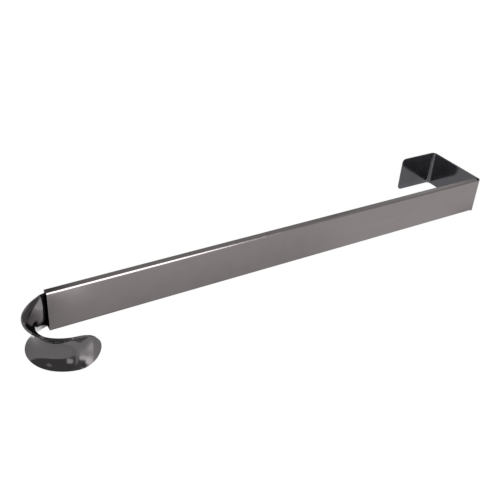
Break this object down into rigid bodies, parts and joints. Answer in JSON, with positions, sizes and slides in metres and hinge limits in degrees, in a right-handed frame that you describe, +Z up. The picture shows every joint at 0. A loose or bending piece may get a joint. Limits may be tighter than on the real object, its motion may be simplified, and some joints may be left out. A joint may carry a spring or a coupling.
{
  "type": "over door hook",
  "caption": "Over-door hanger: a folded sleeve clips over a door's top, and a flat bar with a dished J hook slides out of it to set the length.",
  "frame": {"origin": "middle of the seat under the bridge, where the hanger rests on the door's top edge", "axes": "+Z up as it hangs, -Y towards the room on the hook's side, +Y towards the far side of the door, +X across the sheet"},
  "size_m": [0.027, 0.0936, 0.3591],
  "materials": {
    "satin_gunmetal": "dark gunmetal plating, brushed along the length",
    "polished_gunmetal": "dark gunmetal plating, polished",
    "spring_steel": "plain spring steel",
    "rivet_steel": "plain steel"
  },
  "bodies": {
    "sleeve_body": {"sleeve": "satin_gunmetal", "catch_leaf": "spring_steel"},
    "hook_body": {"hook_bar": "polished_gunmetal", "stop_rivet": "rivet_steel"}
  },
  "joints": [
    {"name": "hook_slide", "type": "slide", "parent": "sleeve_body", "child": "hook_body", "axis": [0, 0, -1], "range_m": [0, 0.254], "deforming": ["catch_leaf"]}
  ]
}
